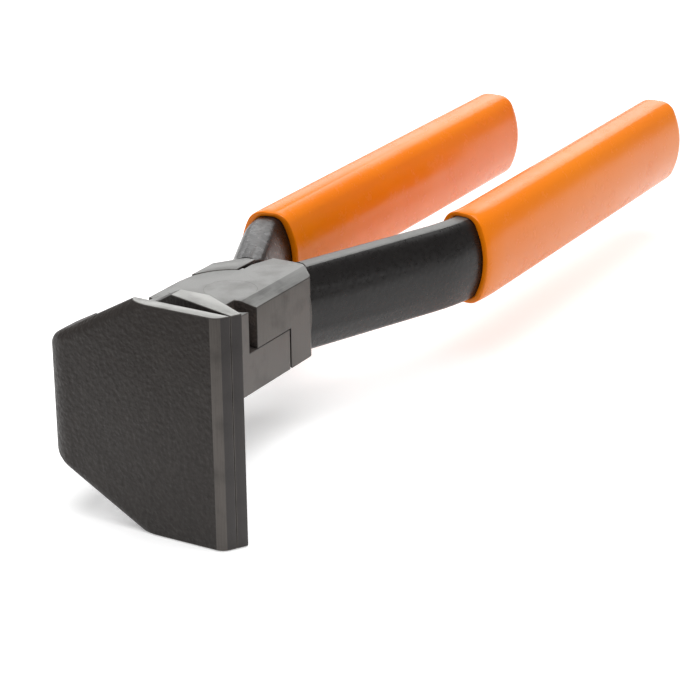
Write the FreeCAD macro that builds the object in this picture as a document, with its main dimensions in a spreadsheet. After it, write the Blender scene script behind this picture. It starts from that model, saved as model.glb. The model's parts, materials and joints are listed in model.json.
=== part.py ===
import FreeCAD, Part
import math
import os
import re

import Sketcher

# Seaming pliers with 90 degree jaws, closed.  Two forged levers are lapped half and half on one rivet;
# the wide jaws stand across the handles and both point to +Y.  The sketches are drawn about the pivot:
# X runs forward to the jaws, Y the way the jaw tips point, Z up the pivot.  Each piece's Placement then
# moves the origin to the middle of the footprint, level with the lower jaw edges.

SIZES = (
    # jaws
    ("jaw_half", 30, "half the jaws' working width"),
    ("close_x", 56.4, "pivot to the line where the tips close"),
    ("tip_y", 36.9, "pivot to the tip line"),
    ("outer_plate", 3.3, "outer jaw's thickness at the tip"),
    ("outer_draft", 0.7, "what the outer jaw gains in thickness by its bend"),
    ("outer_end_run", 2.1, "slant of the outer jaw's end"),
    ("nose_radius", 3.2, "rounding of the outer jaw's tip, towards the front"),
    ("inner_end_run", 1.5, "slant of the inner jaw's end"),
    ("inner_tip", 2.6, "inner jaw's thickness at the tip"),
    ("gap_angle", 15, "angle of the throat between the jaws"),
    ("back_angle", 28, "slope of the inner jaw's back"),
    ("outer_full_y", 9.6, "where the outer jaw stops being full width"),
    ("inner_full_y", 16.4, "where the inner jaw stops being full width"),
    ("corner_angle", 31, "slope of the cut-off jaw corners"),
    ("tip_gap", 0.06, "gap left between the closed tips"),
    ("bend_outer", 7.5, "outside radius of the outer jaw's bend"),
    ("bend_inner", 5.5, "inside radius of the same bend"),
    ("bend_edge", 3.2, "rounding of the bend's upper and lower edges"),
    ("outer_left_y", 17.2, "pivot to the outside of the bend"),
    ("outer_neck_y", 6.5, "pivot to the inside of the outer jaw's neck"),
    ("inner_neck_y", 1.2, "pivot to the inside of the inner jaw's neck"),
    ("neck_rise", 2.3, "what the outer neck gains in height on its way to the bend"),
    ("heel_x", 46.5, "where the inner jaw's heel starts to fall away"),
    ("heel_foot_x", 16, "where it has come down to the joint's height"),
    # joint
    ("head_half", 12.2, "half the joint's height"),
    ("right_y", 12, "pivot to the joint's right side"),
    ("left_y", 15.5, "pivot to the joint's left side"),
    ("disc_radius", 15.3, "radius of the half-lapped discs"),
    ("rim_gap", 0.3, "gap round the discs"),
    ("lap_gap", 0.1, "gap between the two halves of the lap"),
    ("shoulder_x", 10.1, "pivot to the shoulders that stop the joint"),
    ("shoulder_y", 5.7, "how far in the shoulders reach"),
    ("tongue_gap", 0.5, "gap beside the shoulders' inner ends"),
    ("open_angle", 20, "full opening"),
    ("stop_gap", 0.1, "gap left at a shoulder at full opening"),
    ("rear_x", 26.4, "pivot to the back of the right block"),
    ("rear_corner", 5.8, "its cut-off corner"),
    ("rear_round", 3, "rounding at both ends of that corner"),
    ("left_rear_x", 23.2, "pivot to the back of the left block"),
    ("crotch_y", 6.3, "the line on which the levers part behind the joint"),
    ("crotch_gap", 1.3, "gap between the levers there"),
    ("crotch_reach", 34, "length of that gap"),
    ("edge_run", 4.8, "width of the rolled edge on the joint's right side"),
    ("edge_drop", 0.9, "what it drops"),
    # rivet
    ("rivet_radius", 5, "rivet shank"),
    ("rivet_head", 7, "countersunk rivet head"),
    ("rivet_sink", 2.5, "depth of the countersink"),
    ("running_gap", 0.05, "running fit of the upper lever on the rivet"),
    # handles
    ("shaft_half_width", 7, "half the handle bar's width"),
    ("shaft_half_height", 12.1, "half its height"),
    ("shaft_corner", 3.6, "rounding of its corners"),
    ("shaft_side_radius", 21, "crown of its sides"),
    ("root_x", 17, "where the bars grow out of the joint"),
    ("root_bend", 20, "radius of the bend at the joint"),
    ("right_flare", 21, "angle of the right handle's flare"),
    ("right_bend", 65, "radius of its bend back"),
    ("right_straight_x", 91, "where it runs straight back"),
    ("right_grip_y", 26, "its distance from the middle"),
    ("right_mouth_turn", 8.5, "turn still to come where its grip starts"),
    ("right_reach", 218, "pivot to its end"),
    ("left_flare", 25, "angle of the left handle's flare"),
    ("left_bend", 30, "radius of its bend back"),
    ("left_straight_x", 60, "where it runs straight back"),
    ("left_grip_y", 23.6, "its distance from the middle"),
    ("left_mouth_turn", 8, "turn still to come where its grip starts"),
    ("left_reach", 200, "pivot to its end"),
    # grips
    ("grip_half_width", 8.9, "half a grip's width"),
    ("grip_half_height", 13.4, "half its height"),
    ("grip_corner", 5.5, "rounding of its corners"),
    ("grip_side_radius", 24, "crown of its sides"),
    ("grip_end_wall", 5, "plastic beyond the end of the bar"),
    ("grip_end_round", 5, "rounding of a grip's end"),
)

doc = FreeCAD.newDocument("SeamingPliers")
sheet = doc.addObject("Spreadsheet::Sheet", "Sizes")
for row, (alias, number, note) in enumerate(SIZES, start=1):
    sheet.set(f"A{row}", note)
    sheet.set(f"B{row}", str(number))
    sheet.setAlias(f"B{row}", alias)
doc.recompute()
ALIASES = {alias for alias, number, note in SIZES}


def size(text):
    """An expression in the sheet's aliases, written the way the document needs it."""
    return re.sub(r"[a-z_]+", lambda w: f"Sizes.{w[0]}" if w[0] in ALIASES else w[0], str(text))


def number(text):
    return float(sheet.evalExpression(size(text)))


def bind(feature, **properties):
    for name, text in properties.items():
        feature.setExpression(name, size(text))


def new_body(name):
    """A sub-part.  Its origin, the pivot at mid-height, is placed over the footprint's middle."""
    body = doc.addObject("PartDesign::Body", name)
    body.Label = name
    bind(body, **{
        "Placement.Base.x": "(right_reach - close_x - outer_plate) / 2",
        "Placement.Base.y": "(left_grip_y + grip_half_width - tip_y - inner_end_run) / 2",
        "Placement.Base.z": "jaw_half",
    })
    return body


def new_sketch(body, name, plane, offset=None):
    sketch = body.newObject("Sketcher::SketchObject", name)
    role = [o for o in body.Origin.OriginFeatures if o.Role == f"{plane}_Plane"][0]
    sketch.AttachmentSupport = (role, [""])
    sketch.MapMode = "FlatFace"
    if offset:
        bind(sketch, **{"AttachmentOffset.Base.z": offset})
    return sketch


def pin(sketch, geometry, end, x, y):
    """Holds one point of a sketch at the place that two expressions give."""
    for kind, text in (("DistanceX", x), ("DistanceY", y)):
        index = sketch.addConstraint(Sketcher.Constraint(kind, -1, 1, geometry, end, number(text)))
        sketch.setExpression(f"Constraints[{index}]", size(text))


def add_outline(sketch, points):
    """A closed outline of straight lines through the points, each point a pair of expressions."""
    places = [FreeCAD.Vector(number(x), number(y), 0) for x, y in points]
    lines = [sketch.addGeometry(Part.LineSegment(a, b)) for a, b in zip(places, places[1:] + places[:1])]
    for line, after in zip(lines, lines[1:] + lines[:1]):
        sketch.addConstraint(Sketcher.Constraint("Coincident", line, 2, after, 1))
    for line, (x, y) in zip(lines, points):
        pin(sketch, line, 1, x, y)


def outline(body, name, plane, *loops):
    sketch = new_sketch(body, name, plane)
    for points in loops:
        add_outline(sketch, points)
    return sketch


def disc(body, name, radius):
    sketch = new_sketch(body, name, "XY")
    up = FreeCAD.Vector(0, 0, 1)
    sketch.addGeometry(Part.Circle(FreeCAD.Vector(), up, number(radius)))
    sketch.addConstraint(Sketcher.Constraint("Coincident", 0, 3, -1, 1))
    index = sketch.addConstraint(Sketcher.Constraint("Radius", 0, number(radius)))
    sketch.setExpression(f"Constraints[{index}]", size(radius))
    return sketch


def swept(body, kind, sketch, length, side="both", offset=None):
    """A Pad or Pocket of a sketch: to both sides of its plane, or to one side, "up" or "down"."""
    feature = body.newObject(f"PartDesign::{kind}", sketch.Name + kind.lower())
    feature.Profile = sketch
    feature.SideType = "Symmetric" if side == "both" else "One side"
    feature.Reversed = (side == "down") == (kind == "Pad") and side != "both"
    bind(feature, Length=length)
    if offset:
        bind(sketch, **{"AttachmentOffset.Base.z": offset})
    before = body.Shape.Volume if kind == "Pocket" else None
    sketch.Visibility = False
    doc.recompute()
    if before is not None and feature.Shape.Volume > before - 1e-6:
        raise RuntimeError(f"{feature.Name} cuts nothing")
    return feature


def pad(body, sketch, length, side="both"):
    return swept(body, "Pad", sketch, length, side)


def pocket(body, sketch, length, side="both", offset=None):
    return swept(body, "Pocket", sketch, length, side, offset)


def round_edges(body, name, radius, wanted):
    """Rounds those edges of a body whose extents pass the test."""
    before = body.Tip
    edges = [f"Edge{n}" for n, edge in enumerate(before.Shape.Edges, start=1) if wanted(edge.BoundBox)]
    fillet = body.newObject("PartDesign::Fillet", name)
    fillet.Base = (before, edges)
    bind(fillet, Radius=radius)
    doc.recompute()


def round_uprights(body, name, radius, *places):
    """Rounds the upright edges that stand at the places given."""
    spots = [(number(x), number(y)) for x, y in places]
    round_edges(body, name, radius, lambda box: box.XLength + box.YLength < 0.001 and any(
        math.hypot(box.XMin - x, box.YMin - y) < 0.01 for x, y in spots))


# The route of a handle's centre line: out of the joint straight back, a bend outward, the flare, a bend
# back and a long straight.  side is +1 for the right handle and -1 for the left one.

def route(side, hand):
    """Expressions of a handle's route: its start's Y and the four ends of its two bends."""
    flare, bend = f"{hand}_flare", f"{hand}_bend"
    drop = f"((root_bend + {bend}) * (1 - cos({flare}))"
    drop += f" + ({hand}_straight_x - root_x - (root_bend + {bend}) * sin({flare})) * tan({flare}))"
    start_y = f"{side} * ({hand}_grip_y - {drop})"
    return (
        start_y,
        ("-root_x", start_y),
        (f"-root_x - root_bend * sin({flare})", f"{start_y} + {side} * root_bend * (1 - cos({flare}))"),
        (f"-{hand}_straight_x + {bend} * sin({flare})",
         f"{side} * ({hand}_grip_y - {bend} * (1 - cos({flare})))"),
        (f"-{hand}_straight_x", f"{side} * {hand}_grip_y"),
    )


def route_sketch(body, name, side, hand, end_x):
    start_y, bend_1, bend_2, bend_3, bend_4 = route(side, hand)
    points = [("-root_x + 1", start_y), bend_1, bend_2, bend_3, bend_4, (end_x, f"{side} * {hand}_grip_y")]
    places = [FreeCAD.Vector(number(x), number(y), 0) for x, y in points]
    sketch = new_sketch(body, name, "XY")
    flare = math.radians(number(f"{hand}_flare"))

    def bend(a, b, radius, way):
        """The arc from place a to place b; way is +1 where its centre lies towards +Y of the straight."""
        middle = FreeCAD.Vector(a if way * side > 0 else b)
        middle.y += way * radius
        first, last = sorted((a, b), key=lambda p: (math.atan2(p.y - middle.y, p.x - middle.x)) % (2 * math.pi))
        angles = [math.atan2(p.y - middle.y, p.x - middle.x) for p in (first, last)]
        return Part.ArcOfCircle(Part.Circle(middle, FreeCAD.Vector(0, 0, 1), radius), *angles)

    shapes = (
        Part.LineSegment(places[0], places[1]),
        bend(places[1], places[2], number("root_bend"), side),
        Part.LineSegment(places[2], places[3]),
        bend(places[3], places[4], number(f"{hand}_bend"), -side),
        Part.LineSegment(places[4], places[5]),
    )
    edges = [sketch.addGeometry(shape) for shape in shapes]

    def end_at(edge, place):
        return min((1, 2), key=lambda end: (sketch.getPoint(edge, end) - place).Length)

    for before, after, place in zip(edges, edges[1:], places[1:]):
        sketch.addConstraint(Sketcher.Constraint(
            "Tangent", before, end_at(before, place), after, end_at(after, place)))
    pin(sketch, edges[0], 1, *points[0])
    sketch.addConstraint(Sketcher.Constraint("Horizontal", edges[0]))
    index = sketch.addConstraint(Sketcher.Constraint("DistanceX", -1, 1, edges[0], 2, places[1].x))
    sketch.setExpression(f"Constraints[{index}]", size("-root_x"))
    for edge, radius in ((edges[1], "root_bend"), (edges[3], f"{hand}_bend")):
        index = sketch.addConstraint(Sketcher.Constraint("Radius", edge, number(radius)))
        sketch.setExpression(f"Constraints[{index}]", size(radius))
    index = sketch.addConstraint(Sketcher.Constraint("DistanceX", -1, 1, edges[4], 1, places[4].x))
    sketch.setExpression(f"Constraints[{index}]", size(f"-{hand}_straight_x"))
    pin(sketch, edges[4], 2, *points[5])
    sketch.addConstraint(Sketcher.Constraint("Horizontal", edges[4]))
    return sketch


def bar(body, kind, name, side, hand, stock, end_x):
    """A bar of crowned stock, "shaft" or "grip", swept along a handle's route.

    Its section has two sides of large radius, flat top and bottom, and four corner arcs tangent to both.
    """
    start_y = route(side, hand)[0]
    wide, high, corner = f"{stock}_half_width", f"{stock}_half_height", f"{stock}_corner"
    crown = f"{stock}_side_radius"
    reach = f"sqrt(({crown} - {corner}) ^ 2 - ({high} - {corner}) ^ 2)"
    top_y = f"({wide} - {crown} + {reach})"
    turn_y = f"({wide} - {crown} + {reach} * {crown} / ({crown} - {corner}))"
    turn_z = f"(({high} - {corner}) * {crown} / ({crown} - {corner}))"
    spine = route_sketch(body, name + "_route", side, hand, end_x)
    section = new_sketch(body, name + "_section", "YZ", "1 - root_x")
    up = FreeCAD.Vector(0, 0, 1)
    lean = math.asin(number(f"({high} - {corner}) / ({crown} - {corner})"))
    for half in (0, math.pi):
        for radius, middle_y, middle_z, first, last in (
            (crown, f"{wide} - {crown}", "0", -lean, lean),
            (corner, top_y, f"{high} - {corner}", lean, math.pi / 2),
            (None, top_y, high, None, None),
            (corner, f"-{top_y}", f"{high} - {corner}", math.pi / 2, math.pi - lean),
        ):
            way = 1 if half == 0 else -1
            if radius is None:
                ends = [FreeCAD.Vector(number(start_y) + way * y * number(top_y), way * number(high), 0) for y in (1, -1)]
                section.addGeometry(Part.LineSegment(*ends))
                continue
            middle = FreeCAD.Vector(number(start_y) + way * number(middle_y), way * number(middle_z), 0)
            section.addGeometry(Part.ArcOfCircle(
                Part.Circle(middle, up, number(radius)), first + half, last + half))
    for edge in range(8):
        section.addConstraint(Sketcher.Constraint("Coincident", edge, 2, (edge + 1) % 8, 1))
    for edge, radius in ((0, crown), (1, corner), (3, corner), (4, crown), (5, corner), (7, corner)):
        index = section.addConstraint(Sketcher.Constraint("Radius", edge, number(radius)))
        section.setExpression(f"Constraints[{index}]", size(radius))
    for edge, way in ((1, 1), (5, -1)):
        pin(section, edge, 1, f"{start_y} + {way} * {turn_y}", f"{way} * {turn_z}")
        pin(section, edge, 2, f"{start_y} + {way} * {top_y}", f"{way} * {high}")
        pin(section, edge + 2, 1, f"{start_y} - {way} * {top_y}", f"{way} * {high}")
        pin(section, edge + 2, 2, f"{start_y} - {way} * {turn_y}", f"{way} * {turn_z}")
    doc.recompute()
    pipe = body.newObject(f"PartDesign::{kind}", name)
    pipe.Profile = section
    pipe.Spine = (spine, [f"Edge{n}" for n in range(1, 6)])
    doc.recompute()


def rivet_profile(body, name, gap):
    """Half the outline of a rivet countersunk at both ends, grown by a gap."""
    return outline(body, name, "XZ", (
        ("0", "-head_half"), (f"rivet_head + {gap}", "-head_half"),
        (f"rivet_radius + {gap}", "rivet_sink - head_half"), (f"rivet_radius + {gap}", "head_half - rivet_sink"),
        (f"rivet_head + {gap}", "head_half"), ("0", "head_half"),
    ))


def turned(body, kind, sketch):
    feature = body.newObject(f"PartDesign::{kind}", sketch.Name + kind.lower())
    feature.Profile = sketch
    feature.ReferenceAxis = (sketch, ["V_Axis"])
    feature.Angle = 360
    doc.recompute()
    return feature


def both_sides(points):
    """An outline and its mirror image below the joint's middle plane."""
    return points, tuple((x, f"-({y})") for x, y in points)


def cut_corners(body, name, full_y, low_y):
    """Cuts the jaw's corners off, from full width down towards the neck."""
    low = f"jaw_half - ({full_y} - {low_y}) * tan(corner_angle)"
    corner = ((full_y, "jaw_half"), (low_y, low), (low_y, "jaw_half + 1"), (full_y, "jaw_half + 1"))
    pocket(body, outline(body, name, "YZ", *both_sides(corner)), "4 * (close_x + outer_plate)")


def roll_edge(body, name):
    """The joint's right side falls away a little at its upper and lower edges."""
    edge = (("right_y - edge_run", "head_half"), ("right_y + 1", "head_half - edge_drop * (1 + 1 / edge_run)"),
            ("right_y + 1", "head_half + 1"), ("right_y - edge_run", "head_half + 1"))
    sketch = outline(body, name, "YZ", *both_sides(edge))
    bind(sketch, **{"AttachmentOffset.Base.z": "(heel_foot_x - rear_x) / 2"})
    pocket(body, sketch, "heel_foot_x + rear_x")


# Upper lever: the right handle, the upper half of the lap, and the outer jaw on the far left.

upper = new_body("upper_lever")
pad(upper, outline(upper, "outer_jaw", "XY", (
    ("shoulder_x", "-left_y"),
    ("close_x + outer_plate", "-outer_left_y"),
    ("close_x + outer_plate", "tip_y - outer_end_run"),
    ("close_x", "tip_y"),
    ("close_x - outer_draft", "-outer_neck_y"),
    ("shoulder_x", "-outer_neck_y"),
)), "2 * jaw_half")
round_uprights(upper, "outer_bend", "bend_outer", ("close_x + outer_plate", "-outer_left_y"))
round_uprights(upper, "nose", "nose_radius", ("close_x + outer_plate", "tip_y - outer_end_run"))
round_uprights(upper, "inner_bend", "bend_inner", ("close_x - outer_draft", "-outer_neck_y"))
pocket(upper, outline(upper, "outer_neck", "XZ", *both_sides((
    ("shoulder_x - 1", "head_half"), ("close_x - 2 * bend_inner", "head_half + neck_rise"),
    ("close_x - outer_draft", "jaw_half"), ("close_x - outer_draft", "jaw_half + 1"),
    ("shoulder_x - 1", "jaw_half + 1"),
))), "4 * outer_left_y")
cut_corners(upper, "outer_corners", "outer_full_y", "-outer_left_y - 1")
round_edges(upper, "bend_borders", "bend_edge", lambda box: box.ZMin * box.ZMax > 0 and (
    box.YMax < number("bend_outer - outer_left_y") + 0.5
    or box.XMin > number("close_x + outer_plate") - 0.1 and box.YMax < number("outer_full_y") + 0.1))

pad(upper, disc(upper, "upper_disc", "disc_radius"), "2 * head_half")
pad(upper, outline(upper, "right_block", "XY", (
    ("0", "-left_y"), ("shoulder_x + 5", "-left_y"), ("shoulder_x + 5", "-outer_neck_y"), ("0", "-outer_neck_y"),
    ("-disc_radius", "-crotch_y"), ("-root_x", "-crotch_y"), ("-rear_x", "3 - crotch_y"), ("-rear_x", "right_y - rear_corner"),
    ("rear_corner - rear_x", "right_y"), ("8", "right_y"), ("8", "0"), ("0", "0"),
)), "2 * head_half")
round_uprights(upper, "rear_corners", "rear_round",
               ("-rear_x", "right_y - rear_corner"), ("rear_corner - rear_x", "right_y"))
bar(upper, "AdditivePipe", "right_bar", 1, "right", "shaft", "grip_end_wall - right_reach")
pocket(upper, outline(upper, "right_crotch", "XY", (
    ("-disc_radius - rim_gap", "crotch_gap / 2 - crotch_y"), ("-root_x - crotch_reach", "crotch_gap / 2 - crotch_y"),
    ("-root_x - crotch_reach", "-left_y - 5"), ("-disc_radius - rim_gap", "-left_y - 5"),
)), "4 * head_half")
pocket(upper, outline(upper, "right_side", "XY", (
    ("rear_corner - rear_x", "right_y"), ("heel_foot_x", "right_y"),
    ("heel_foot_x", "right_y + 8"), ("rear_corner - rear_x", "right_y + 8"),
)), "4 * head_half")
# the lower half of the lap is cleared for the other lever, the upper half notched to let it open
pocket(upper, disc(upper, "upper_lap", "disc_radius + rim_gap"), "head_half + 5", "down", "lap_gap / 2")
pocket(upper, outline(upper, "upper_shoulder", "XY", (
    ("-2", "-shoulder_y"), ("shoulder_x", "-shoulder_y"), ("shoulder_x", "-left_y - 5"), ("-2", "-left_y - 5"),
)), "head_half + 5", "down", "lap_gap / 2")
pocket(upper, outline(upper, "upper_notch", "XY", (
    ("(shoulder_x - stop_gap - right_y * sin(open_angle)) / cos(open_angle)", "shoulder_y - tongue_gap"),
    ("disc_radius + 5", "shoulder_y - tongue_gap"), ("disc_radius + 5", "right_y + 5"),
    ("(shoulder_x - stop_gap - right_y * sin(open_angle)) / cos(open_angle)", "right_y + 5"),
)), "head_half + 5", "up", "lap_gap / 2 - 0.01")
roll_edge(upper, "upper_edges")
turned(upper, "Groove", rivet_profile(upper, "upper_bore", "running_gap"))

# Lower lever: the left handle, the lower half of the lap, and the inner jaw on the right.

lower = new_body("lower_lever")
front_y = "close_x - tip_gap - (tip_y - inner_neck_y) * tan(gap_angle)"
back_x = "close_x - tip_gap - inner_tip - (tip_y + inner_end_run - right_y) * tan(back_angle)"
pad(lower, outline(lower, "inner_jaw", "XY", (
    ("shoulder_x", "inner_neck_y"), (front_y, "inner_neck_y"), ("close_x - tip_gap", "tip_y"),
    ("close_x - tip_gap - inner_tip", "tip_y + inner_end_run"), (back_x, "right_y"), ("shoulder_x", "right_y"),
)), "2 * jaw_half")
round_uprights(lower, "heel_round", "bend_inner", (front_y, "inner_neck_y"), (back_x, "right_y"))
pocket(lower, outline(lower, "heel", "XZ", *both_sides((
    ("heel_foot_x - 8", "head_half"), ("heel_foot_x", "head_half"), ("heel_x", "jaw_half"),
    ("heel_x", "jaw_half + 1"), ("heel_foot_x - 8", "jaw_half + 1"),
))), "4 * left_y")
cut_corners(lower, "inner_corners", "inner_full_y", "-1")

pad(lower, disc(lower, "lower_disc", "disc_radius"), "2 * head_half")
pad(lower, outline(lower, "left_block", "XY", (
    ("0", "right_y"), ("shoulder_x + 5", "right_y"), ("shoulder_x + 5", "inner_neck_y"), ("0", "inner_neck_y"),
    ("0", "-crotch_gap / 2 - crotch_y"), ("-left_rear_x", "-crotch_gap / 2 - crotch_y"),
    ("-left_rear_x", "-crotch_gap / 2 - crotch_y - 3"), ("-disc_radius", "-left_y"), ("-5", "-left_y"),
    ("-5", "0"),
)), "2 * head_half")
bar(lower, "AdditivePipe", "left_bar", -1, "left", "shaft", "grip_end_wall - left_reach")
pocket(lower, outline(lower, "left_crotch", "XY", (
    ("-disc_radius - rim_gap", "-crotch_gap / 2 - crotch_y"), ("-root_x - crotch_reach", "-crotch_gap / 2 - crotch_y"),
    ("-root_x - crotch_reach", "right_y + 5"), ("-disc_radius - rim_gap", "right_y + 5"),
)), "4 * head_half")
pocket(lower, outline(lower, "lower_side", "XY", (
    ("-disc_radius - 1", "right_y"), ("heel_foot_x", "right_y"),
    ("heel_foot_x", "right_y + 8"), ("-disc_radius - 1", "right_y + 8"),
)), "4 * head_half")
pocket(lower, disc(lower, "lower_lap", "disc_radius + rim_gap"), "head_half + 5", "up", "-lap_gap / 2")
pocket(lower, outline(lower, "lower_shoulder", "XY", (
    ("-2", "shoulder_y"), ("shoulder_x", "shoulder_y"), ("shoulder_x", "right_y + 5"), ("-2", "right_y + 5"),
)), "head_half + 5", "up", "-lap_gap / 2")
pocket(lower, outline(lower, "lower_notch", "XY", (
    ("(shoulder_x - stop_gap - left_y * sin(open_angle)) / cos(open_angle)", "tongue_gap - shoulder_y"),
    ("disc_radius + 5", "tongue_gap - shoulder_y"), ("disc_radius + 5", "-left_y - 5"),
    ("(shoulder_x - stop_gap - left_y * sin(open_angle)) / cos(open_angle)", "-left_y - 5"),
)), "head_half + 5", "down", "0.01 - lap_gap / 2")
roll_edge(lower, "lower_edges")
turned(lower, "Groove", rivet_profile(lower, "lower_bore", "0"))

# Rivet: pressed in the lower lever, running in the upper one, ground flush with both sides.

rivet = new_body("pivot_rivet")
turned(rivet, "Revolution", rivet_profile(rivet, "rivet_shape", "0"))


# Grips: thick plastic dipped over the bars, rounded at the end and cut square to the bar at the mouth.

def grip(name, side, hand):
    body = new_body(name)
    bar(body, "AdditivePipe", f"{hand}_skin", side, hand, "grip", f"-{hand}_reach")
    end_x = min(face.CenterOfMass.x for face in body.Tip.Shape.Faces)
    round_edges(body, f"{hand}_end", "grip_end_round", lambda box: box.XMax < end_x + 0.01)
    bar(body, "SubtractivePipe", f"{hand}_bore", side, hand, "shaft", f"grip_end_wall - {hand}_reach")
    turn = f"{hand}_mouth_turn"
    mouth_x = f"{hand}_bend * sin({turn}) - {hand}_straight_x"
    mouth_y = f"{side} * ({hand}_grip_y - {hand}_bend * (1 - cos({turn})))"
    across = [(f"{mouth_x} + {w} * sin({turn})", f"{mouth_y} + {w} * {side} * cos({turn})") for w in (-25, 25)]
    ahead = [(f"{x} + 150 * cos({turn})", f"{y} - 150 * {side} * sin({turn})") for x, y in reversed(across)]
    pocket(body, outline(body, f"{hand}_mouth", "XY", (*across, *ahead)), "4 * grip_half_height")
    return body


right_grip = grip("right_grip", 1, "right")
left_grip = grip("left_grip", -1, "left")

doc.recompute()
for item in doc.Objects:
    if "Invalid" in item.State or "Error" in item.State:
        raise RuntimeError(f"{item.Name} failed: {item.State}")
pieces = (upper, lower, rivet, right_grip, left_grip)
for piece in pieces:
    if piece.Shape.isNull() or not piece.Shape.isValid() or len(piece.Shape.Solids) != 1:
        raise RuntimeError(f"{piece.Label} is not one good solid")
os.makedirs("parts", exist_ok=True)
for piece in pieces:
    piece.Shape.exportStep(f"parts/{piece.Label}.step")
    print(piece.Label, round(piece.Shape.Volume / 1000, 2), "cm3")
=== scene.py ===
import json
import math

import bmesh
import bpy
from mathutils import Matrix, Vector


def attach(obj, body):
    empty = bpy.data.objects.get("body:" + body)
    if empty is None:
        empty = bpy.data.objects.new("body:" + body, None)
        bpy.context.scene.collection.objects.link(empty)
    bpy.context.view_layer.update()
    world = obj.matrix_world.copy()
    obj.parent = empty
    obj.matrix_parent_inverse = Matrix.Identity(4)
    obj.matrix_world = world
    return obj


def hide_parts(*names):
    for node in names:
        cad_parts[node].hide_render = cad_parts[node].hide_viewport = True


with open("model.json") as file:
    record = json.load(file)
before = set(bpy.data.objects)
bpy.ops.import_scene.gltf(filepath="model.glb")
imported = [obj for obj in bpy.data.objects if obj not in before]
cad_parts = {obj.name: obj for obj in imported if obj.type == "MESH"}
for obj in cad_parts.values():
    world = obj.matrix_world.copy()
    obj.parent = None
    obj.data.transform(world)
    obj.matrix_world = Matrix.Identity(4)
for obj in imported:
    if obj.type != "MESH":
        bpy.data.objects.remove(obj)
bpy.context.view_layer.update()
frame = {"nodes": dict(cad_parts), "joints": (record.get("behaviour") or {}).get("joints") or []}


# Lower lever: one steel forging with the left handle's bar, the lower half of the lap and the inner jaw.
# It is dipped in black lacquer.  The joint's faces and the jaw's rims are then ground bright, and its
# corners are worn through to the steel.

PIVOT = Vector(next(j for j in frame["joints"] if j["name"] == "jaw_pivot")["pos_m"])
JOINT_HALF = 0.0122
RIVET_HEAD = 0.0072
FORGING_CORNER = 0.0003


def tone(red, green, blue):
    """A colour from 0 to 255 in the linear values that a shader takes."""
    return (*(((c / 255 + 0.055) / 1.055) ** 2.4 for c in (red, green, blue)), 1.0)


def add(tree, kind, sockets=(), **settings):
    """A node with its settings, and its sockets filled with values or with other nodes' outputs."""
    made = tree.nodes.new(kind)
    for name, value in settings.items():
        setattr(made, name, value)
    for socket, value in dict(sockets).items():
        if isinstance(value, bpy.types.NodeSocket):
            tree.links.new(value, made.inputs[socket])
        else:
            made.inputs[socket].default_value = value
    return made


def blended(tree, share, first, second):
    """The colour that lies that share of the way from the first to the second."""
    return add(tree, "ShaderNodeMix", {"Factor": share, 6: first, 7: second}, data_type="RGBA").outputs[2]


def spread(tree, value, low, high, to_low, to_high):
    """A value mapped from one range to another, and kept within it."""
    return add(tree, "ShaderNodeMapRange", {
        "Value": value, "From Min": low, "From Max": high, "To Min": to_low, "To Max": to_high}).outputs[0]


def calc(tree, operation, first, second):
    return add(tree, "ShaderNodeMath", {0: first, 1: second}, operation=operation).outputs[0]


def new_group(name, inputs, outputs):
    """An empty shader node group: its tree, its inputs' node and its outputs' node."""
    tree = bpy.data.node_groups.new(name, "ShaderNodeTree")
    for way, sockets in (("INPUT", inputs), ("OUTPUT", outputs)):
        for socket, kind in sockets:
            tree.interface.new_socket(socket, in_out=way, socket_type=f"NodeSocket{kind}")
    return tree, tree.nodes.new("NodeGroupInput"), tree.nodes.new("NodeGroupOutput")


def forged_skin():
    """Scale pits and soft lumps of a hot forging under thin lacquer, with thin places where steel shows."""
    tree, given, out = new_group(
        "forged_skin",
        (("Lacquer", "Color"), ("Steel", "Color"), ("Grain", "Float"), ("Wear", "Float"), ("Sheen", "Float")),
        (("Color", "Color"), ("Roughness", "Float"), ("Height", "Float")))
    place = add(tree, "ShaderNodeTexCoord").outputs["Object"]
    grain = add(tree, "ShaderNodeTexNoise", {
        "Vector": place, "Scale": given.outputs["Grain"], "Detail": 4.0, "Roughness": 0.55}).outputs["Fac"]
    pebble = add(tree, "ShaderNodeTexVoronoi", {
        "Vector": place, "Scale": given.outputs["Grain"], "Smoothness": 0.6}, feature="SMOOTH_F1")
    lumps = add(tree, "ShaderNodeTexNoise", {"Vector": place, "Scale": 95.0, "Detail": 2.0}).outputs["Fac"]
    patches = add(tree, "ShaderNodeTexNoise", {"Vector": place, "Scale": 240.0, "Detail": 6.0}).outputs["Fac"]
    worn = calc(tree, "MULTIPLY", spread(tree, patches, 0.5, 0.72, 0.0, 1.0), given.outputs["Wear"])
    shade = blended(
        tree, spread(tree, grain, 0.3, 0.7, 0.0, 0.35), given.outputs["Lacquer"], tone(22, 19, 18))
    color = blended(tree, worn, shade, given.outputs["Steel"])
    height = calc(
        tree, "ADD", calc(tree, "MULTIPLY", grain, 0.6), calc(tree, "MULTIPLY", pebble.outputs[0], 0.5))
    height = calc(tree, "ADD", height, calc(tree, "MULTIPLY", lumps, 1.2))
    rough = calc(tree, "ADD", given.outputs["Sheen"], spread(tree, grain, 0.3, 0.7, -0.07, 0.1))
    for socket, value in (("Color", color), ("Roughness", rough), ("Height", height)):
        tree.links.new(value, out.inputs[socket])
    return tree


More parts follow.
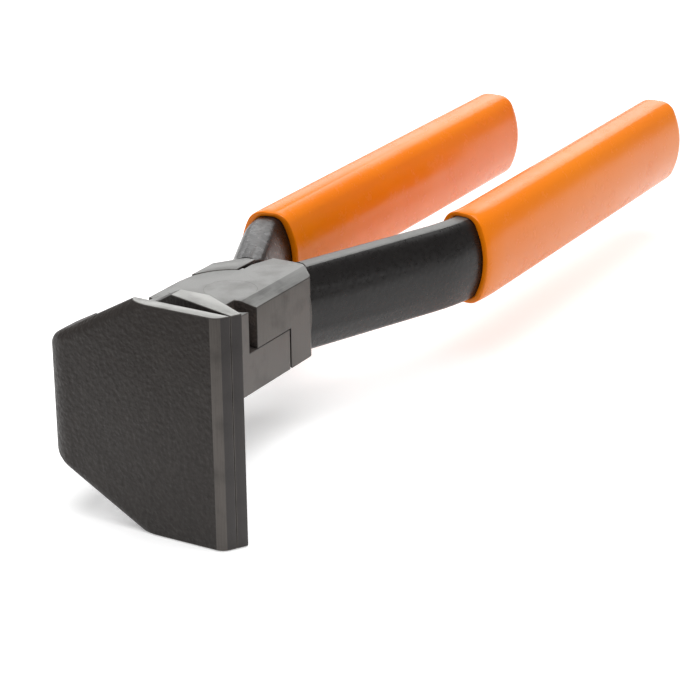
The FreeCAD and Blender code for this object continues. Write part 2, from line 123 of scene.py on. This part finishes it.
def ground_marks():
    """Fine parallel scratches of a grinding belt, with a few deeper ones and faint stains."""
    tree, given, out = new_group(
        "ground_marks",
        (("Steel", "Color"), ("Stain", "Color"), ("Along", "Vector"), ("Sheen", "Float")),
        (("Color", "Color"), ("Roughness", "Float"), ("Height", "Float")))
    place = add(tree, "ShaderNodeTexCoord").outputs["Object"]
    drawn = add(
        tree, "ShaderNodeVectorMath", {0: place, 1: given.outputs["Along"]}, operation="MULTIPLY").outputs[0]
    fine = add(tree, "ShaderNodeTexNoise", {"Vector": drawn, "Scale": 1.0, "Detail": 5.0, "Roughness": 0.7})
    deep = add(tree, "ShaderNodeTexNoise", {"Vector": drawn, "Scale": 0.3, "Detail": 2.0})
    stain = add(tree, "ShaderNodeTexNoise", {"Vector": place, "Scale": 130.0, "Detail": 5.0}).outputs["Fac"]
    lines = calc(tree, "ADD", calc(tree, "MULTIPLY", fine.outputs["Fac"], 0.7),
                 calc(tree, "MULTIPLY", deep.outputs["Fac"], 0.3))
    dark = calc(
        tree, "ADD", spread(tree, lines, 0.38, 0.62, 0.35, 0.0), spread(tree, stain, 0.5, 0.75, 0.0, 0.45))
    color = blended(tree, dark, given.outputs["Steel"], given.outputs["Stain"])
    rough = calc(tree, "ADD", given.outputs["Sheen"], spread(tree, lines, 0.35, 0.65, -0.06, 0.12))
    for socket, value in (("Color", color), ("Roughness", rough), ("Height", lines)):
        tree.links.new(value, out.inputs[socket])
    return tree


FORGED = forged_skin()
GROUND = ground_marks()


def surface(name, group, values, bump, shader):
    """A material from one of the groups: its colour, roughness and relief on a Principled shader, whose
    other sockets take plain values."""
    material = bpy.data.materials.new(name)
    material.use_nodes = True
    tree = material.node_tree
    main = tree.nodes["Principled BSDF"]
    made = tree.nodes.new("ShaderNodeGroup")
    made.node_tree = group
    for socket, value in values.items():
        made.inputs[socket].default_value = value
    relief = add(
        tree, "ShaderNodeBump", {"Height": made.outputs["Height"], "Strength": 1.0, "Distance": bump})
    for socket, value in (("Base Color", made.outputs["Color"]), ("Roughness", made.outputs["Roughness"]),
                          ("Normal", relief.outputs["Normal"])):
        tree.links.new(value, main.inputs[socket])
    for socket, value in shader.items():
        main.inputs[socket].default_value = value
    return material


LACQUER = surface("black_lacquer", FORGED, {
    "Lacquer": tone(18, 15, 14), "Steel": tone(56, 52, 49), "Grain": 700.0, "Wear": 0.08, "Sheen": 0.3},
    0.00006, {"Specular IOR Level": 0.35})
JAW_FACE = surface("oxide_black_jaw", FORGED, {
    "Lacquer": tone(46, 41, 38), "Steel": tone(66, 61, 57), "Grain": 900.0, "Wear": 0.2, "Sheen": 0.5},
    0.0003, {"Specular IOR Level": 0.3})
NOSE = surface("ground_nose", GROUND, {
    "Steel": tone(90, 85, 81), "Stain": tone(46, 42, 40), "Along": (5000.0, 5000.0, 120.0), "Sheen": 0.38},
    0.00002, {"Metallic": 0.5})
RIM = surface("ground_rim", GROUND, {
    "Steel": tone(172, 172, 169), "Stain": tone(112, 110, 106),
    "Along": (4000.0, 700.0, 500.0), "Sheen": 0.36},
    0.00003, {"Metallic": 0.7})
JOINT_TOP = surface("ground_joint_top", GROUND, {
    "Steel": tone(138, 138, 136), "Stain": tone(88, 86, 83), "Along": (400.0, 5000.0, 400.0), "Sheen": 0.38},
    0.00003, {"Metallic": 0.7})
JOINT_SIDE = surface("ground_joint_side", GROUND, {
    "Steel": tone(98, 93, 89), "Stain": tone(56, 52, 49), "Along": (6000.0, 400.0, 250.0), "Sheen": 0.42},
    0.00003, {"Metallic": 0.5})
WORN = surface("worn_corner", GROUND, {
    "Steel": tone(84, 80, 77), "Stain": tone(44, 41, 39), "Along": (900.0, 900.0, 900.0), "Sheen": 0.36},
    0.00002, {"Metallic": 0.5})
SLOT = surface("raw_slot", FORGED, {
    "Lacquer": tone(56, 48, 44), "Steel": tone(96, 80, 70), "Grain": 1500.0, "Wear": 0.5, "Sheen": 0.62},
    0.0003, {"Metallic": 0.1})
# Painted shade: the tips' forward-facing end faces take a darker copy of the nose's ground steel, standing in
# for the shade they lie in toward the dim front. It is also rougher and less metallic.
DULL_SHADED_TIP_END = surface("dull_shaded_tip_end", GROUND, {
    "Steel": tone(56, 52, 51), "Stain": tone(36, 33, 32), "Along": (5000.0, 5000.0, 120.0), "Sheen": 0.5},
    0.00002, {"Metallic": 0.2})
ROLLED = surface("stained_rolled_edge", GROUND, {
    "Steel": tone(120, 120, 118), "Stain": tone(46, 44, 43), "Along": (400.0, 5000.0, 400.0), "Sheen": 0.4},
    0.00003, {"Metallic": 0.7})
LEVER_FINISHES = (LACQUER, JAW_FACE, NOSE, RIM, JOINT_TOP, JOINT_SIDE, WORN, SLOT, DULL_SHADED_TIP_END, ROLLED)


# Where one finish gives way to another: places from the pivot in metres, and parts of a face's normal.
RIM_HEIGHT = 0.0295
FLAT = 0.95
TOP_SLACK = 0.00001
LAP_REACH = 0.0165
ROLLED_START = 0.0073
ROLLED_HEIGHT = 0.0112
SIDE_BACK, SIDE_FRONT = -0.0265, 0.03
SIDE_NEAR, SIDE_FAR = 0.006, 0.0121
SIDE_FACING = 0.65
TIP_X, TIP_Y = 0.05, 0.0325
NOSE_FACING, END_FACING = 0.02, 0.75
JAW_START = 0.04


def lever_finish(spot, normal):
    """Which finish a lever's face has, from where it lies and which way it faces."""
    x, y, z = spot - PIVOT
    across = abs(normal.z)
    if across > FLAT and abs(z) > RIM_HEIGHT:
        return RIM
    if across > FLAT and abs(z) > JOINT_HALF - TOP_SLACK:
        return JOINT_TOP
    if across > FLAT and y > ROLLED_START and abs(z) > ROLLED_HEIGHT and x < LAP_REACH:
        return ROLLED
    if normal.y > SIDE_FACING and SIDE_BACK < x < SIDE_FRONT and SIDE_NEAR < y < SIDE_FAR:
        return JOINT_SIDE
    if x > TIP_X and y > TIP_Y and normal.y > NOSE_FACING:
        # End faces that turn straight forward get the darker copy, which is painted shade. The rest of the
        # nose keeps its ground steel.
        return DULL_SHADED_TIP_END if normal.y > END_FACING else NOSE
    if abs(x) < LAP_REACH and abs(y) < LAP_REACH:
        return SLOT
    if x > JAW_START:
        return JAW_FACE
    return LACQUER


# How close corners are one, how little a flat face may turn, and which turns are rounded or stay creased.
MERGE = 2e-6
FLAT_TURN = math.radians(0.4)
CORNER_TURN = math.radians(30)
CREASE_TURN = math.radians(40)


def softened(node, finishes, finish_of, corner, worn=None):
    """A copy of a CAD node, cleaned, with its corners rounded and a finish on each face.  The rivet's own
    edges and those round it stay sharp, as they were hammered and ground together."""
    name = node + "_finished"
    mesh = bpy.data.meshes.new(name)
    work = bmesh.new()
    work.from_mesh(frame["nodes"][node].data)
    bmesh.ops.remove_doubles(work, verts=work.verts, dist=MERGE)
    bmesh.ops.dissolve_limit(work, angle_limit=FLAT_TURN, verts=work.verts, edges=work.edges)
    work.normal_update()
    for face in work.faces:
        face.material_index = finishes.index(finish_of(face.calc_center_median(), face.normal))
    sharp = [edge for edge in work.edges
             if len(edge.link_faces) == 2 and edge.calc_face_angle(0) > CORNER_TURN
             and (edge.verts[0].co - PIVOT).xy.length > RIVET_HEAD]
    bmesh.ops.bevel(work, geom=sharp, offset=corner, offset_type="WIDTH", segments=2, profile=0.5,
                    affect="EDGES", clamp_overlap=False, material=finishes.index(worn) if worn else -1)
    bmesh.ops.triangulate(work, faces=[face for face in work.faces if len(face.verts) > 4])
    for face in work.faces:
        face.smooth = True
    for edge in work.edges:
        edge.smooth = edge.calc_face_angle(0) < CREASE_TURN
    work.to_mesh(mesh)
    work.free()
    for finish in finishes:
        mesh.materials.append(finish)
    piece = bpy.data.objects.new(name, mesh)
    bpy.context.scene.collection.objects.link(piece)
    return piece


lower_lever = softened("lower_lever", LEVER_FINISHES, lever_finish, FORGING_CORNER, WORN)
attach(lower_lever, "lower_half")
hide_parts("lower_lever")


# Rivet: a plain steel rivet pressed into the lower lever, hammered into both countersinks and ground
# flush with the joint.

rivet = softened("pivot_rivet", (JOINT_TOP,), lambda spot, normal: JOINT_TOP, 0.0)
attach(rivet, "lower_half")
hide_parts("pivot_rivet")


# Upper lever: the other forging, with the right handle's bar, the upper half of the lap and the outer
# jaw.  Same lacquer, same ground faces.

upper_lever = softened("upper_lever", LEVER_FINISHES, lever_finish, FORGING_CORNER, WORN)
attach(upper_lever, "upper_half")
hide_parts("upper_lever")


# Grips: orange plastic dipped over both bars in several coats.  It is glossy, slightly uneven, and cut
# off at the mouth.

def dipped_plastic():
    material = bpy.data.materials.new("dipped_plastic")
    material.use_nodes = True
    tree = material.node_tree
    main = tree.nodes["Principled BSDF"]
    place = add(tree, "ShaderNodeTexCoord").outputs["Object"]
    sags = add(tree, "ShaderNodeTexNoise", {"Vector": place, "Scale": 28.0, "Detail": 1.0}).outputs["Fac"]
    specks = add(tree, "ShaderNodeTexNoise", {"Vector": place, "Scale": 1500.0, "Detail": 3.0}).outputs["Fac"]
    scuffs = add(tree, "ShaderNodeTexNoise", {"Vector": place, "Scale": 260.0, "Detail": 7.0}).outputs["Fac"]
    color = blended(tree, spread(tree, sags, 0.3, 0.7, 0.0, 1.0), tone(234, 121, 2), tone(238, 128, 5))
    color = blended(tree, spread(tree, specks, 0.6, 0.8, 0.0, 0.15), color, tone(196, 84, 0))
    rough = calc(
        tree, "ADD", spread(tree, scuffs, 0.45, 0.75, 0.2, 0.3), spread(tree, specks, 0.4, 0.7, 0.0, 0.04))
    height = calc(tree, "ADD", calc(tree, "MULTIPLY", sags, 1.0), calc(tree, "MULTIPLY", specks, 0.02))
    relief = add(tree, "ShaderNodeBump", {"Height": height, "Strength": 1.0, "Distance": 0.0005})
    for socket, value in (("Base Color", color), ("Roughness", rough), ("Normal", relief.outputs["Normal"])):
        tree.links.new(value, main.inputs[socket])
    main.inputs["Specular IOR Level"].default_value = 0.25
    return material


PLASTIC = dipped_plastic()
GRIP_CORNER = 0.0006
for grip_node, body in (("right_grip", "upper_half"), ("left_grip", "lower_half")):
    grip = softened(grip_node, (PLASTIC,), lambda spot, normal: PLASTIC, GRIP_CORNER)
    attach(grip, body)
    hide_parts(grip_node)


# Floor: a white table top that keeps the tool's shadow.

def white_table():
    material = bpy.data.materials.new("white_table")
    material.use_nodes = True
    tree = material.node_tree
    main = tree.nodes["Principled BSDF"]
    rays = add(tree, "ShaderNodeLightPath").outputs
    seen = calc(tree, "MAXIMUM", rays["Is Camera Ray"], calc(
        tree, "MAXIMUM", rays["Is Glossy Ray"], rays["Is Transmission Ray"]))
    tree.links.new(calc(tree, "MULTIPLY", seen, 0.34), main.inputs["Emission Strength"])
    main.inputs["Emission Color"].default_value = (1.0, 1.0, 1.0, 1.0)
    main.inputs["Base Color"].default_value = (0.9, 0.9, 0.9, 1.0)
    main.inputs["Roughness"].default_value = 0.8
    return material


FLOOR_REACH = 6.0
FLOOR_DROP = 0.0002
floor_mesh = bpy.data.meshes.new("floor")
floor_corners = [(x * FLOOR_REACH, y * FLOOR_REACH, -FLOOR_DROP)
                 for x, y in ((-1, -1), (1, -1), (1, 1), (-1, 1))]
floor_mesh.from_pydata(floor_corners, [], [(0, 1, 2, 3)])
floor_mesh.materials.append(white_table())
floor = bpy.data.objects.new("floor", floor_mesh)
bpy.context.scene.collection.objects.link(floor)


# Light and camera: a wide soft box overhead, a second one low behind the tool, which puts the long pale
# gleams on its upper sides, and a dim room in front.

world = bpy.data.worlds.new("pale_room")
world.use_nodes = True
world.node_tree.nodes["Background"].inputs["Color"].default_value = (1.0, 1.0, 1.0, 1.0)
world.node_tree.nodes["Background"].inputs["Strength"].default_value = 0.3
bpy.context.scene.world = world


def soft_box(name, place, target, width, depth, watts):
    lamp = bpy.data.lights.new(name, "AREA")
    lamp.shape = "RECTANGLE"
    lamp.size = width
    lamp.size_y = depth
    lamp.energy = watts
    holder = bpy.data.objects.new(name, lamp)
    holder.location = place
    holder.rotation_euler = (Vector(target) - Vector(place)).to_track_quat("-Z", "Y").to_euler()
    holder.visible_camera = False
    bpy.context.scene.collection.objects.link(holder)


soft_box("overhead_box", (0.05, 0.05, 1.1), (0.0, 0.0, 0.03), 1.4, 1.4, 18.0)
soft_box("low_back_box", (-1.25, -0.75, 0.6), (0.0, 0.0, 0.03), 1.4, 0.7, 5.5)

CAMERA_SPOT = PIVOT + Vector((0.5118, 0.3375, 0.2349))
CAMERA_AIM = Vector((-0.80207, -0.47266, -0.36506)).normalized()
CAMERA_ROLL = math.radians(-0.71)
right = CAMERA_AIM.cross(Vector((0, 0, 1))).normalized()
up = right.cross(CAMERA_AIM)
turned_right = right * math.cos(CAMERA_ROLL) + up * math.sin(CAMERA_ROLL)
turned_up = up * math.cos(CAMERA_ROLL) - right * math.sin(CAMERA_ROLL)
camera = bpy.data.objects.new("camera", bpy.data.cameras.new("camera"))
camera.data.sensor_width = 36
camera.data.lens = 128.57
camera.data.clip_start = 0.01
axes = Matrix((turned_right, turned_up, -CAMERA_AIM)).transposed().to_4x4()
camera.matrix_world = Matrix.Translation(CAMERA_SPOT) @ axes
bpy.context.scene.collection.objects.link(camera)
bpy.context.scene.camera = camera
bpy.context.scene.view_settings.view_transform = "Standard"
